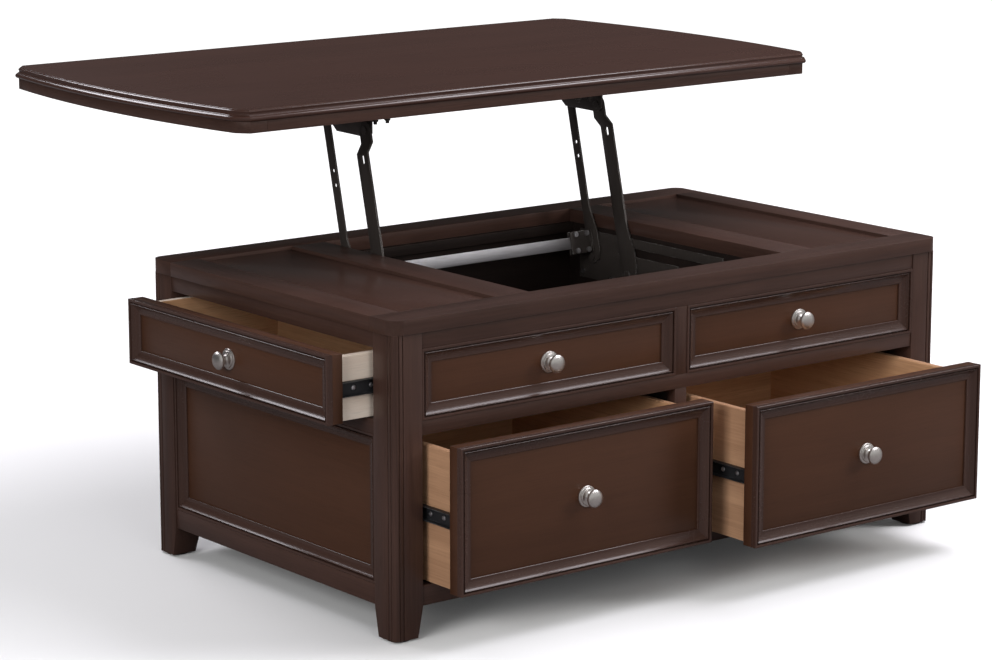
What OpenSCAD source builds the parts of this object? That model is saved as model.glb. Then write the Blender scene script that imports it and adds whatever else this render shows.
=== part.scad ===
// Coffee table with a lifting top, two deep front drawers and a shallow drawer in each end.
// Drawn with the top raised and three of the drawers partly open.
// X runs along the length, -Y is the drawer front, Z is up. Millimetres.

/* [Case] */
// length of the rim frame
case_w = 1112; // [1000:1:1300]
// depth of the rim frame
case_d = 648; // [600:1:760]
// height of the rim frame above the floor
case_h = 484; // [470:1:520]
// thickness of the rim boards
rim_t = 22; // [18:1:26]
// overhang of the rim past the posts
rim_over = 3; // [1:0.5:6]
// width of the rim's long rails
rim_long_w = 58; // [54:1:70]
// corner radius of the rim
rim_r = 20; // [5:1:24]
// side of the square posts
post_w = 51; // [46:1:54]
// height of the glides under the posts
glide_t = 3; // [2:0.5:5]

/* [Storage well] */
// inside length of the storage well
well_w = 518; // [500:1:540]
// width of the cross rails beside the well
cross_w = 65; // [50:1:80]
// drop of the inset panels below the rim
inset_drop = 5; // [3:0.5:8]

/* [Fronts] */
// height of the bottom rail's lower edge
rail_z = 50; // [40:1:60]
// top of the bottom rail
low_z = 81; // [78:1:90]
// underside of the middle rail
mid_z0 = 308; // [300:1:320]
// top of the middle rail
mid_z1 = 330; // [326:1:340]
// underside of the top rail
top_rail_z = 437; // [430:1:444]
// width of the mullions between the fronts
mullion_w = 23; // [18:1:30]
// width of the moulding round a front
mould_w = 23; // [23:1:30]
// thickness of the moulding
mould_t = 10; // [8:0.5:12]
// thickness of a drawer front's board
slab_t = 18; // [15:0.5:19]

/* [Drawers] */
// opening of the lower left drawer
open_low_left = 90; // [0:1:240]
// opening of the lower right drawer
open_low_right = 159; // [0:1:240]
// opening of the left end drawer
open_end_left = 81; // [0:1:160]
// opening of the right end drawer
open_end_right = 0; // [0:1:160]
// length of a lower drawer box
low_box_l = 450; // [400:1:500]
// length of an end drawer box
end_box_l = 250; // [220:1:252]
// thickness of the drawer sides
side_t = 12; // [9:0.5:15]

/* [Lift top] */
// length of the lift top over its bead
top_l = 1232; // [1150:1:1300]
// depth of the lift top over its bead
top_d = 687; // [650:1:760]
// whole thickness of the lift top
top_t = 36; // [34:1:42]
// height of the band under the top board
band_h = 18; // [12:1:20]
// bow of the short ends
top_bow = 27; // [10:1:40]

/* [Lift mechanism] */
// length of the arms between their pivots
arm_l = 292; // [280:1:300]
// lean of the raised arms towards the back, in degrees
arm_lean = 13.5; // [8:0.5:18]
// rise of the folded arms towards the front, in degrees
arm_fold = 10; // [8:0.1:12]
// depth position of the front arms' base pivot
base_y = 104.4; // [95:0.1:110]
// height of the front arms' base pivot
base_z = 392.6; // [388:0.1:400]
// thickness of the arms
arm_t = 3; // [2.5:0.1:3]

/* [Hidden] */

// half sizes of the rim, of the posts' outer faces and of the space between the posts
rx = case_w / 2;
ry = case_d / 2;
px = rx - rim_over;
py = ry - rim_over;
ix = px - post_w;
iy = py - post_w;
rim_z = case_h - rim_t;
wx = well_w / 2;
wy = ry - rim_long_w;
cx1 = wx + cross_w;
mh = mullion_w / 2;

// faces of the rails stand back from the posts
face_back = 1.5;
rail_t = 18.5;
face_x = px - face_back;
face_y = py - face_back;
rail_ix = face_x - rail_t;
rail_iy = face_y - rail_t;

// joint line between separate boards
joint = 0.2;

// gaps round a drawer front
gap = 2;
top_gap = 3;
front_t = slab_t + mould_t;

// drawer fronts
low_front_w = ix - mh - 2 * gap;
low_front_z0 = low_z + gap;
low_front_z1 = mid_z0 - top_gap;
low_front_h = low_front_z1 - low_front_z0;
low_front_x = (ix + mh) / 2;
end_front_w = 2 * iy - 3;
end_front_z0 = mid_z1 + gap;
end_front_z1 = top_rail_z - 1.5;
end_front_h = end_front_z1 - end_front_z0;

// slides
slide_gap = 12.7;
slide_h = 35;
rail_h = 22;
low_slide_z = 190;
end_slide_z = 380;

// drawer boxes
low_box_z0 = low_front_z0 + 2;
low_box_h = 206;
low_box_w = ix - mh - 2 * slide_gap;
end_box_z0 = end_front_z0 + 0.5;
end_box_h = 96;
end_box_w = 2 * (iy - slide_gap);

// knob
knob_p = 26;

// lift linkage: pivots as [y, z] from the case's centre
pivot_dy = 93;
pivot_dz = 17.3;
rear_y = base_y + pivot_dy;
rear_z = base_z + pivot_dz;
up_y = arm_l * sin(arm_lean);
up_z = arm_l * cos(arm_lean);
down_y = -arm_l * cos(arm_fold);
down_z = arm_l * sin(arm_fold);
shift_y = up_y - down_y;
raise_z = up_z - down_z;
rest_gap = 1;
top_y = shift_y;
top_z = case_h + rest_gap + raise_z;
head_y = base_y + up_y;
head_z = base_z + up_z;
drop = top_z + band_h - head_z;

// planes of the mechanism, measured from the well's middle
plate_t = 2.5;
plate_x = wx - plate_t;
arm_x = plate_x - 0.6 - arm_t;
head_x = arm_x - 11.5;
pin_r = 4;
pin_gap = 0.05;

// lift top outline
bead_out = 8.5;
top_hx = top_l / 2 - bead_out;
top_hy = top_d / 2 - bead_out;
clip_x = 14.3;
clip_y = 17;
bow_half = top_hy - clip_y;
bow_r = (bow_half * bow_half + top_bow * top_bow) / (2 * top_bow);

// the origin is under the middle of the whole raised table
out_left = px + open_end_left - mould_t + knob_p;
out_right = max(top_l / 2, px + open_end_right - mould_t + knob_p);
out_front = py + max(open_low_left, open_low_right) - mould_t + knob_p;
out_back = top_y + top_d / 2;
off_x = (out_left - out_right) / 2;
off_y = (out_front - out_back) / 2;

wood = [0.24, 0.16, 0.14];
panel_wood = [0.27, 0.17, 0.14];
pale = [0.82, 0.70, 0.56];
nickel = [0.76, 0.74, 0.71];
dark_steel = [0.15, 0.14, 0.14];
bright_steel = [0.78, 0.77, 0.80];
black = [0.05, 0.05, 0.05];

// everything of the case is drawn about the case's centre and moved here
module place() {
    translate([off_x, off_y, 0]) children();
}

// a block between two corners
module block(a, b) {
    translate(a) cube([b[0] - a[0], b[1] - a[1], b[2] - a[2]]);
}

// a copy on each side of the middle, along X
module both_x() {
    children();
    mirror([1, 0, 0]) children();
}

// a copy at the front and one at the back
module both_y() {
    children();
    mirror([0, 1, 0]) children();
}

// ---- posts

// cross-section with the outer corner at the origin and the post towards +X, +Y
module post_section() {
    groove = 1.6;
    bead = 8;
    difference() {
        union() {
            translate([bead, 0]) square([post_w - bead, post_w]);
            translate([0, bead]) square([bead, post_w - bead]);
            translate([bead, bead]) circle(r = bead, $fn = 64);
        }
        translate([bead + 0.4, -1]) square([groove, 1 + groove]);
        translate([-1, bead + 0.4]) square([1 + groove, groove]);
        translate([bead + 7.5, -1]) square([groove, 1 + groove]);
        translate([-1, bead + 7.5]) square([1 + groove, groove]);
    }
}

module post() {
    taper = 9;
    foot = rail_z;
    difference() {
        translate([0, 0, glide_t]) linear_extrude(rim_z - glide_t) post_section();
        translate([0, -1, 0]) rotate([90, 0, 0]) mirror([0, 0, 1]) linear_extrude(post_w + 2)
            polygon([[post_w + 1, foot], [post_w, foot], [post_w - taper, glide_t - 0.01],
                [post_w - taper, 0], [post_w + 1, 0]]);
        translate([-1, 0, 0]) rotate([90, 0, 90]) linear_extrude(post_w + 2)
            polygon([[post_w + 1, foot], [post_w, foot], [post_w - taper, glide_t - 0.01],
                [post_w - taper, 0], [post_w + 1, 0]]);
    }
}

module post_front_left() {
    color(wood) place() translate([-px, -py, 0]) post();
}

module post_front_right() {
    color(wood) place() mirror([1, 0, 0]) translate([-px, -py, 0]) post();
}

module post_back_left() {
    color(wood) place() mirror([0, 1, 0]) translate([-px, -py, 0]) post();
}

module post_back_right() {
    color(wood) place() rotate([0, 0, 180]) translate([-px, -py, 0]) post();
}

module glides() {
    foot_w = post_w - 9;
    color(black) place() both_x() both_y()
        translate([px - foot_w / 2, py - foot_w / 2, 0]) cylinder(h = glide_t, r = 17, $fn = 64);
}

// ---- rim and its panels

module rim_long() {
    translate([0, 0, rim_z]) linear_extrude(rim_t) union() {
        translate([-rx + rim_r, -ry]) square([case_w - 2 * rim_r, rim_long_w]);
        translate([-rx, -ry + rim_r]) square([case_w, rim_long_w - rim_r]);
        translate([-rx + rim_r, -ry + rim_r]) circle(r = rim_r, $fn = 64);
        translate([rx - rim_r, -ry + rim_r]) circle(r = rim_r, $fn = 64);
    }
}

module rim_front() {
    color(wood) place() rim_long();
}

module rim_back() {
    color(wood) place() mirror([0, 1, 0]) rim_long();
}

module rim_end() {
    block([ix + 1, -wy, rim_z], [rx, wy, case_h]);
}

module rim_left() {
    color(wood) place() mirror([1, 0, 0]) rim_end();
}

module rim_right() {
    color(wood) place() rim_end();
}

module cross_rails() {
    color(wood) place() both_x() block([wx, -wy, rim_z], [cx1, wy, case_h]);
}

module inset_panels() {
    top = case_h - inset_drop;
    color(panel_wood) place() both_x() {
        block([cx1, -wy, rim_z], [ix + 1, wy, top - 1]);
        block([cx1 + 1, -wy + 1, top - 1], [ix, wy - 1, top]);
    }
}

// ---- frame of the case

module front_top_rail() {
    color(wood) place() block([-ix, -face_y, top_rail_z], [ix, -rail_iy, rim_z]);
}

module front_mid_rail() {
    color(wood) place() block([-ix, -face_y, mid_z0], [ix, -rail_iy, mid_z1]);
}

module front_bottom_rail() {
    color(wood) place() block([-ix, -face_y, rail_z], [ix, -rail_iy, low_z]);
}

module mullions() {
    color(wood) place() {
        block([-mh, -face_y, mid_z1], [mh, -rail_iy, top_rail_z]);
        block([-mh, -face_y, low_z], [mh, -rail_iy, mid_z0]);
    }
}

module end_rails() {
    color(wood) place() both_x() {
        block([rail_ix, -iy, top_rail_z], [face_x, iy, rim_z]);
        block([rail_ix, -iy, mid_z0], [face_x, iy, mid_z1]);
        block([rail_ix, -iy, rail_z], [face_x, iy, low_z]);
    }
}

module end_panels() {
    color(panel_wood) place() both_x()
        block([rail_ix, -iy, low_z], [face_x - mould_t, iy, mid_z0]);
}

module back_rails() {
    color(wood) place() {
        block([-ix, rail_iy, top_rail_z], [ix, face_y, rim_z]);
        block([-ix, rail_iy, rail_z], [ix, face_y, low_z]);
        block([-mh, rail_iy, low_z + joint], [mh, face_y, top_rail_z - joint]);
    }
}

module back_panels() {
    color(panel_wood) place() both_x()
        block([mh, rail_iy, low_z], [ix, face_y - mould_t, top_rail_z]);
}

// ---- moulding: outer edge at u = 0, inner edge at u = mould_w, height v above the board

module mould_section() {
    lip = 4.6;
    quirk = 1.8;
    start = lip + quirk;
    shoulder = mould_t - 0.8;
    foot = 2.2;
    run = mould_w - 2.6 - start;
    fall = shoulder - foot;
    cove = (run * run + fall * fall) / (2 * fall);
    union() {
        square([lip, mould_t]);
        square([mould_w, foot - 0.6]);
        translate([lip - 0.01, 0]) square([quirk + 0.02, mould_t - 2.2]);
        difference() {
            translate([start, 0]) square([run + 0.8, shoulder]);
            translate([start + run, foot + cove]) circle(r = cove, $fn = 128);
        }
    }
}

// one mitred stick along +X, outer edge on Y = 0, board side on Z = 0
module stick(len) {
    intersection() {
        rotate([90, 0, 90]) linear_extrude(len) mould_section();
        linear_extrude(mould_t + 1)
            polygon([[0, 0], [len, 0], [len - mould_w, mould_w], [mould_w, mould_w]]);
    }
}

// mitred frame of w by h, centred, standing up in +Z
module mould_ring(w, h) {
    translate([-w / 2, -h / 2, 0]) stick(w);
    translate([w / 2, h / 2, 0]) rotate([0, 0, 180]) stick(w);
    translate([w / 2, -h / 2, 0]) rotate([0, 0, 90]) stick(h);
    translate([-w / 2, h / 2, 0]) rotate([0, 0, -90]) stick(h);
}

// children drawn in +Z come to face the front
module face_front() {
    rotate([90, 0, 0]) children();
}

// children drawn in +Z come to face the left end
module face_left() {
    rotate([90, 0, -90]) children();
}

// board with its moulding; the moulding's face is at Z = 0 and the board goes back from there
module moulded_front(w, h) {
    translate([-w / 2, -h / 2, -front_t]) cube([w, h, slab_t]);
    translate([0, 0, -mould_t]) mould_ring(w, h);
}

module end_mouldings() {
    h = mid_z0 - low_z;
    color(wood) place() both_x()
        translate([-face_x + mould_t, 0, (mid_z0 + low_z) / 2]) face_left()
            mould_ring(2 * iy, h);
}

module back_mouldings() {
    h = top_rail_z - low_z;
    color(wood) place() both_x() mirror([0, 1, 0])
        translate([(ix + mh) / 2, -face_y + mould_t, (top_rail_z + low_z) / 2]) face_front()
            mould_ring(ix - mh, h);
}

module faux_front() {
    translate([low_front_x, -py, (mid_z1 + top_rail_z) / 2]) face_front()
        moulded_front(ix - mh, top_rail_z - mid_z1);
}

module faux_front_left() {
    color(panel_wood) place() mirror([1, 0, 0]) faux_front();
}

module faux_front_right() {
    color(panel_wood) place() faux_front();
}

// ---- knob standing up in +Z

module knob() {
    rotate_extrude($fn = 96) polygon([[0, 0], [16.5, 0], [16.5, 1.6], [15.6, 2.6], [13.2, 3],
        [12.8, 4.6], [11.4, 5.6], [8, 6.6], [6.2, 8.6], [5.8, 11], [6.6, 13.2], [9.6, 14.8],
        [13, 16.4], [14, 18.2], [14, 19.6], [13, 21.8], [10.4, 23.8], [6.6, 25.2], [3, 25.9],
        [0, knob_p]]);
}

module faux_knobs() {
    color(nickel) place() both_x()
        translate([low_front_x, -py + mould_t, (mid_z1 + top_rail_z) / 2]) face_front() knob();
}

// ---- boards inside the case

module deck(z0, z1) {
    translate([0, 0, z0]) linear_extrude(z1 - z0) union() {
        translate([-rail_ix, -iy]) square([2 * rail_ix, 2 * iy]);
        translate([-ix, -rail_iy]) square([2 * ix, 2 * rail_iy]);
    }
}

module bottom_panel() {
    color(panel_wood) place() deck(rail_z + 6, rail_z + 18);
}

module middle_panel() {
    color(panel_wood) place() deck(mid_z0 + 4, mid_z0 + 16);
}

module centre_partition() {
    color(panel_wood) place()
        block([-mh, -rail_iy, rail_z + 18], [mh, rail_iy, mid_z0 + 4]);
}

well_t = 12;
floor_z = mid_z0 + 16;

module well_walls() {
    cleat_h = 17;
    cleat_t = 10;
    color(black) place() {
        both_x() block([wx, -wy - well_t, floor_z], [wx + well_t, wy + well_t, rim_z]);
        both_y() block([-wx + joint, wy, floor_z], [wx - joint, wy + well_t, rim_z]);
        both_y() block([-wx + joint, wy - cleat_t, rim_z - cleat_h], [wx - joint, wy, rim_z]);
    }
}

module slide_cleats() {
    cleat_t = 12;
    color(pale) place() both_x() {
        block([ix, -iy, low_slide_z - 40], [ix + cleat_t, iy, low_slide_z + 40]);
        both_y() block([wx + well_t, iy, floor_z], [ix, iy + cleat_t, end_slide_z + 40]);
    }
}

// ---- drawer slides, drawn along +X from the front end, wall at Y = 0, drawer towards -Y

// member fixed to the case
module slide_outer(len) {
    s = 1.2;
    h = slide_h / 2;
    rotate([90, 0, 90]) linear_extrude(len) union() {
        translate([-s, -h]) square([s, slide_h]);
        translate([-9.5, h - s]) square([9.5, s]);
        translate([-9.5, -h]) square([9.5, s]);
        translate([-9.5, h - 3.2]) square([s, 3.2]);
        translate([-9.5, -h]) square([s, 3.2]);
    }
}

// member fixed to the drawer
module slide_inner(len) {
    s = 1.2;
    h = rail_h / 2;
    rotate([90, 0, 90]) linear_extrude(len) union() {
        translate([-slide_gap, -h]) square([s, rail_h]);
        translate([-slide_gap, h - s]) square([9.5, s]);
        translate([-slide_gap, -h]) square([9.5, s]);
    }
}

// wall member of a lower drawer's right side; it stays within the drawer's rear reach
module low_outer() {
    translate([ix, -py + front_t + 6, low_slide_z]) rotate([0, 0, -90]) mirror([1, 0, 0])
        slide_outer(low_box_l - 12);
}

module low_outer_inner_side() {
    translate([mh, -py + front_t + 6, low_slide_z]) mirror([1, 0, 0]) rotate([0, 0, -90])
        mirror([1, 0, 0]) slide_outer(low_box_l - 12);
}

module end_outer() {
    translate([-px + front_t + 6, iy, end_slide_z]) slide_outer(end_box_l - 14);
}

module case_slides() {
    color(black) place() {
        both_x() {
            low_outer();
            low_outer_inner_side();
            both_y() end_outer();
        }
    }
}

// ---- drawers, closed, seen from the front with the drawer's face at y = 0 and going back in +Y

module drawer_box(w, len, h, floor_up) {
    t = side_t;
    translate([-w / 2, front_t, 0]) cube([t, len, h]);
    translate([w / 2 - t, front_t, 0]) cube([t, len, h]);
    translate([-w / 2 + t, front_t, 0]) cube([w - 2 * t, t, h]);
    translate([-w / 2 + t, front_t + len - t, 0]) cube([w - 2 * t, t, h]);
    translate([-w / 2 + t, front_t + t, floor_up]) cube([w - 2 * t, len - 2 * t, 6]);
}

// knob on a drawer's front
module drawer_knob(z_knob) {
    translate([0, mould_t, z_knob]) face_front() knob();
}

// the two slide members of a drawer
module drawer_rails(w, len, z_slide) {
    both_x() translate([w / 2 + slide_gap, front_t + 1, z_slide]) rotate([0, 0, -90])
        mirror([1, 0, 0]) slide_inner(len - 8);
}

// place a lower drawer: side is -1 for left and 1 for right
module low_drawer(side, out) {
    place() translate([side * low_front_x, -py - out, 0]) children();
}

// place an end drawer: side is -1 for left and 1 for right
module end_drawer(side, out) {
    place() translate([side * (px + out), 0, 0]) rotate([0, 0, side < 0 ? -90 : 90]) children();
}

module low_front() {
    translate([0, 0, (low_front_z0 + low_front_z1) / 2]) face_front()
        moulded_front(low_front_w, low_front_h);
}

module low_box() {
    translate([0, 0, low_box_z0]) drawer_box(low_box_w, low_box_l, low_box_h, 10);
}

module low_knob() {
    drawer_knob((low_front_z0 + low_front_z1) / 2);
}

module low_rails() {
    drawer_rails(low_box_w, low_box_l, low_slide_z);
}

module end_front() {
    translate([0, 0, (end_front_z0 + end_front_z1) / 2]) face_front()
        moulded_front(end_front_w, end_front_h);
}

module end_box() {
    translate([0, 0, end_box_z0]) drawer_box(end_box_w, end_box_l, end_box_h, 8);
}

module end_knob() {
    drawer_knob((end_front_z0 + end_front_z1) / 2);
}

module end_drawer_rails() {
    drawer_rails(end_box_w, end_box_l, end_slide_z);
}

module low_left_front() {
    color(panel_wood) low_drawer(-1, open_low_left) low_front();
}

module low_left_box() {
    color(pale) low_drawer(-1, open_low_left) low_box();
}

module low_left_knob() {
    color(nickel) low_drawer(-1, open_low_left) low_knob();
}

module low_left_rails() {
    color(black) low_drawer(-1, open_low_left) low_rails();
}

module low_right_front() {
    color(panel_wood) low_drawer(1, open_low_right) low_front();
}

module low_right_box() {
    color(pale) low_drawer(1, open_low_right) low_box();
}

module low_right_knob() {
    color(nickel) low_drawer(1, open_low_right) low_knob();
}

module low_right_rails() {
    color(black) low_drawer(1, open_low_right) low_rails();
}

module end_left_front() {
    color(panel_wood) end_drawer(-1, open_end_left) end_front();
}

module end_left_box() {
    color(pale) end_drawer(-1, open_end_left) end_box();
}

module end_left_knob() {
    color(nickel) end_drawer(-1, open_end_left) end_knob();
}

module end_left_rails() {
    color(black) end_drawer(-1, open_end_left) end_drawer_rails();
}

module end_right_front() {
    color(panel_wood) end_drawer(1, open_end_right) end_front();
}

module end_right_box() {
    color(pale) end_drawer(1, open_end_right) end_box();
}

module end_right_knob() {
    color(nickel) end_drawer(1, open_end_right) end_knob();
}

module end_right_rails() {
    color(black) end_drawer(1, open_end_right) end_drawer_rails();
}

// ---- lift mechanism, raised; each side is drawn at +X and mirrored

// children drawn along an arm: +Z runs from the base pivot to the top one, +Y is the arm's back
module along_arm(y, z) {
    translate([0, y, z]) rotate([-arm_lean, 0, 0]) children();
}

// children are a flat shape in Y and Z, made into a plate between two X positions
module plate_yz(x0, x1) {
    translate([x0, 0, 0]) rotate([90, 0, 90]) linear_extrude(x1 - x0) children();
}

// round bar along X
module bar_x(x0, x1, y, z, r) {
    translate([x0, y, z]) rotate([0, 90, 0]) cylinder(h = x1 - x0, r = r, $fn = 48);
}

module base_plates() {
    color(dark_steel) place() both_x() plate_yz(plate_x, wx) difference() {
        translate([base_y, base_z]) polygon([[-124, -22], [131, -22], [131, 62], [-234, 62],
            [-234, 46], [30, 46], [30, 32], [-124, 32]]);
        translate([base_y, base_z]) circle(r = pin_r, $fn = 48);
        translate([rear_y, rear_z]) circle(r = pin_r, $fn = 48);
    }
}

// pivot pins of the arms and the stops behind the rear arms
module base_pins() {
    stud_y = rear_w / 2 + 0.3 + pin_r;
    color(dark_steel) place() both_x() {
        for (p = [[base_y, base_z], [rear_y, rear_z]]) {
            bar_x(arm_x - 1, wx, p[0], p[1], pin_r);
            bar_x(arm_x - 2.5, arm_x - 0.5, p[0], p[1], 6.5);
        }
        along_arm(rear_y, rear_z) bar_x(arm_x, plate_x, stud_y, 30, pin_r);
    }
}

module plate_screws() {
    spots = [[-114, -14], [-72, -16], [46, -15], [122, -11], [124, 54]];
    color(bright_steel) place() both_x() for (p = spots)
        bar_x(plate_x - 2, plate_x, base_y + p[0], base_z + p[1], 4.5);
}

front_w = 30;
rear_w = 19;

// flat bar with its head set in towards the middle
module front_arm() {
    w = front_w;
    l = arm_l;
    intersection() {
        translate([0, 40, 0]) rotate([90, 0, 0]) linear_extrude(80)
            polygon([[arm_x + arm_t, -30], [arm_x + arm_t, l - 36], [head_x + arm_t, l - 20],
                [head_x + arm_t, l + 20], [head_x, l + 20], [head_x, l - 21.2],
                [arm_x, l - 37.2], [arm_x, -30]]);
        plate_yz(head_x - 1, arm_x + arm_t + 1) difference() {
            union() {
                translate([-w / 2, 0]) square([w, l]);
                circle(r = w / 2, $fn = 64);
                translate([0, l]) circle(r = w / 2, $fn = 64);
                polygon([[0, 80], [-w / 2, 80], [-25, 38], [-26, 14], [-20, -6], [0, -w / 2]]);
            }
            circle(r = pin_r + pin_gap, $fn = 48);
            translate([0, l]) circle(r = pin_r + pin_gap, $fn = 48);
            translate([-3.5, l - 50.5]) square([7, 8]);
            translate([0, l - 50.5]) circle(r = 3.5, $fn = 32);
            translate([0, l - 42.5]) circle(r = 3.5, $fn = 32);
        }
    }
}

module rear_arm() {
    w = rear_w;
    l = arm_l;
    plate_yz(arm_x, arm_x + arm_t) difference() {
        union() {
            translate([-w / 2, 0]) square([w, l]);
            circle(r = 11, $fn = 64);
            translate([0, l]) circle(r = w / 2, $fn = 64);
            polygon([[0, 86], [-w / 2, 86], [-21, 44], [-22, 12], [-16, -6], [0, -w / 2]]);
        }
        circle(r = pin_r + pin_gap, $fn = 48);
        translate([0, l]) circle(r = pin_r + pin_gap, $fn = 48);
        translate([0, l - 93]) circle(r = 3.5, $fn = 32);
        translate([0, l - 117]) circle(r = 3.5, $fn = 32);
    }
}

module front_arms() {
    color(dark_steel) place() both_x() along_arm(base_y, base_z) front_arm();
}

module rear_arms() {
    color(dark_steel) place() both_x() along_arm(rear_y, rear_z) rear_arm();
}

// cross bar between the rear arms, held between two pairs of clamp plates
bar_s = 28;
bar_hs = 10;
bar_t = 2;
clamp_t = 2.5;
clamp_x = 208;

module lower_cross_bar() {
    end_x = clamp_x + 26;
    color(bright_steel) place() along_arm(rear_y, rear_z)
        block([-end_x, -bar_t, bar_s - bar_hs], [end_x, bar_t, bar_s + bar_hs]);
}

module clamp_spots() {
    for (x = [219, 243], s = [-14, 14]) translate([x, 0, bar_s + s]) children();
}

module bar_clamps() {
    s0 = bar_s - 19;
    s1 = bar_s + 19;
    color(dark_steel) place() both_x() along_arm(rear_y, rear_z) difference() {
        union() {
            block([clamp_x, -bar_t - clamp_t, s0], [arm_x - clamp_t, -bar_t, s1]);
            block([clamp_x, bar_t, s0], [arm_x - clamp_t, bar_t + clamp_t, s1]);
            block([arm_x - clamp_t, -9, s0], [arm_x, 9, s1]);
        }
        clamp_spots() translate([0, 10, 0]) rotate([90, 0, 0]) cylinder(h = 20, r = 2.5, $fn = 32);
    }
}

module clamp_bolts() {
    out = bar_t + clamp_t;
    color(bright_steel) place() both_x() along_arm(rear_y, rear_z) clamp_spots()
        rotate([90, 0, 0]) {
            translate([0, 0, -out]) cylinder(h = 2 * out, r = 2.5, $fn = 32);
            translate([0, 0, out]) cylinder(h = 3, r = 4.5, $fn = 32);
            translate([0, 0, -out - 3]) cylinder(h = 3, r = 4.5, $fn = 32);
        }
}

// ---- parts that ride with the lift top, drawn about the front arms' top pivot

module at_head() {
    translate([0, head_y, head_z]) children();
}

br_x1 = head_x - 0.6;
br_x0 = br_x1 - plate_t;
tab_z = 20;

module top_brackets() {
    flange_x = 208;
    color(dark_steel) place() both_x() at_head() {
        plate_yz(br_x0, br_x1) difference() {
            polygon([[-14, -4], [-6, -11], [4, -12], [82, -11], [104, 6], [108, 20],
                [108, drop], [-14, drop]]);
            circle(r = pin_r, $fn = 48);
            translate([pivot_dy, pivot_dz]) circle(r = pin_r, $fn = 48);
        }
        block([flange_x, -14, drop - plate_t], [br_x0, 108, drop]);
        difference() {
            block([188, -14, tab_z], [br_x0, 14, tab_z + plate_t]);
            for (x = [199, 223]) translate([x, 0, tab_z - 1]) cylinder(h = 5, r = 3, $fn = 32);
        }
    }
}

module bracket_pins() {
    color(dark_steel) place() both_x() at_head() {
        bar_x(br_x0 - 2, br_x0, 0, 0, 6.5);
        bar_x(br_x0, head_x + arm_t + 2.2, 0, 0, pin_r);
        bar_x(head_x + arm_t + 0.6, head_x + arm_t + 2.2, 0, 0, 6.5);
        bar_x(br_x0 - 2, br_x0, pivot_dy, pivot_dz, 6.5);
        bar_x(br_x0, arm_x + arm_t + 0.2, pivot_dy, pivot_dz, pin_r);
        bar_x(br_x1, arm_x - 0.6, pivot_dy, pivot_dz, 6);
    }
}

module upper_cross_bar() {
    end_x = br_x0 - 2.3;
    color(bright_steel) place() at_head() difference() {
        block([-end_x, -14, tab_z - 3], [end_x, 14, tab_z]);
        both_x() for (x = [199, 223]) translate([x, 0, tab_z - 4])
            cylinder(h = 5, r = 3, $fn = 32);
    }
}

// bolts of the upper cross bar and the screws that hold the brackets to the top
module bracket_fixings() {
    color(dark_steel) place() both_x() at_head() {
        for (x = [199, 223]) {
            translate([x, 0, tab_z - 12.5]) cylinder(h = 12.5 + plate_t, r = 3, $fn = 32);
            translate([x, 0, tab_z - 8]) cylinder(h = 5, r = 5, $fn = 32);
            translate([x, 0, tab_z + plate_t]) cylinder(h = 3, r = 5, $fn = 32);
        }
        for (y = [4, 47, 90]) translate([221, y, drop - plate_t - 2])
            cylinder(h = 2, r = 4.5, $fn = 32);
    }
}

// ---- lift top

// plan of the top, grown outwards by e: straight long sides, bowed ends and clipped corners
module top_plan(e) {
    xa = top_hx - top_bow - clip_x;
    hyp = sqrt(clip_x * clip_x + clip_y * clip_y);
    yd = top_hy + e;
    x1 = xa + e * (hyp - clip_x) / clip_y;
    xe = top_hx + 40 + e;
    y2 = top_hy - ((xe - xa) * clip_y - e * hyp) / clip_x;
    intersection() {
        polygon([[x1, yd], [xe, y2], [xe, -y2], [x1, -yd], [-x1, -yd], [-xe, -y2], [-xe, y2],
            [-x1, yd]]);
        translate([top_hx - bow_r, 0]) circle(r = bow_r + e, $fn = 720);
        translate([bow_r - top_hx, 0]) circle(r = bow_r + e, $fn = 720);
    }
}

// a slice of the top between two heights above the band's lower edge
module top_slice(z0, z1, e) {
    translate([0, top_y, top_z + z0]) linear_extrude(z1 - z0) top_plan(e);
}

module top_board() {
    t = top_t;
    color(panel_wood) place() {
        top_slice(band_h, band_h + 1.2, 5);
        top_slice(band_h + 1.2, band_h + 2.6, 7.4);
        top_slice(band_h + 2.6, band_h + 6.4, bead_out);
        top_slice(band_h + 6.4, band_h + 7.8, 7.4);
        top_slice(band_h + 7.8, band_h + 9, 5);
        top_slice(band_h + 9, t - 5, 2.6);
        top_slice(t - 5, t - 2.4, 3.2);
        top_slice(t - 2.4, t - 0.8, 2.4);
        top_slice(t - 0.8, t, 0.8);
    }
}

module top_band() {
    out = 3;
    strip = 22;
    xi = top_hx - top_bow - clip_x - 30;
    yi = top_hy + out - strip;
    color(wood) place() translate([0, top_y, top_z]) {
        both_y() block([-xi + joint, yi, 0], [xi - joint, top_hy + out, band_h]);
        both_x() linear_extrude(band_h) intersection() {
            top_plan(out);
            translate([xi, -top_hy - 20]) square([150, 2 * top_hy + 40]);
        }
    }
}

post_front_left();
post_front_right();
post_back_left();
post_back_right();
glides();
rim_front();
rim_back();
rim_left();
rim_right();
cross_rails();
inset_panels();
front_top_rail();
front_mid_rail();
front_bottom_rail();
mullions();
faux_front_left();
faux_front_right();
faux_knobs();
end_rails();
end_panels();
end_mouldings();
back_rails();
back_panels();
back_mouldings();
bottom_panel();
middle_panel();
centre_partition();
well_walls();
slide_cleats();
case_slides();
base_plates();
base_pins();
plate_screws();
front_arms();
rear_arms();
lower_cross_bar();
bar_clamps();
clamp_bolts();
top_brackets();
bracket_pins();
upper_cross_bar();
bracket_fixings();
top_board();
top_band();
low_left_front();
low_left_box();
low_left_knob();
low_left_rails();
low_right_front();
low_right_box();
low_right_knob();
low_right_rails();
end_left_front();
end_left_box();
end_left_knob();
end_left_rails();
end_right_front();
end_right_box();
end_right_knob();
end_right_rails();
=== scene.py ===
"""Lift top coffee table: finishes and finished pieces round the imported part."""
import math

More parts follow.
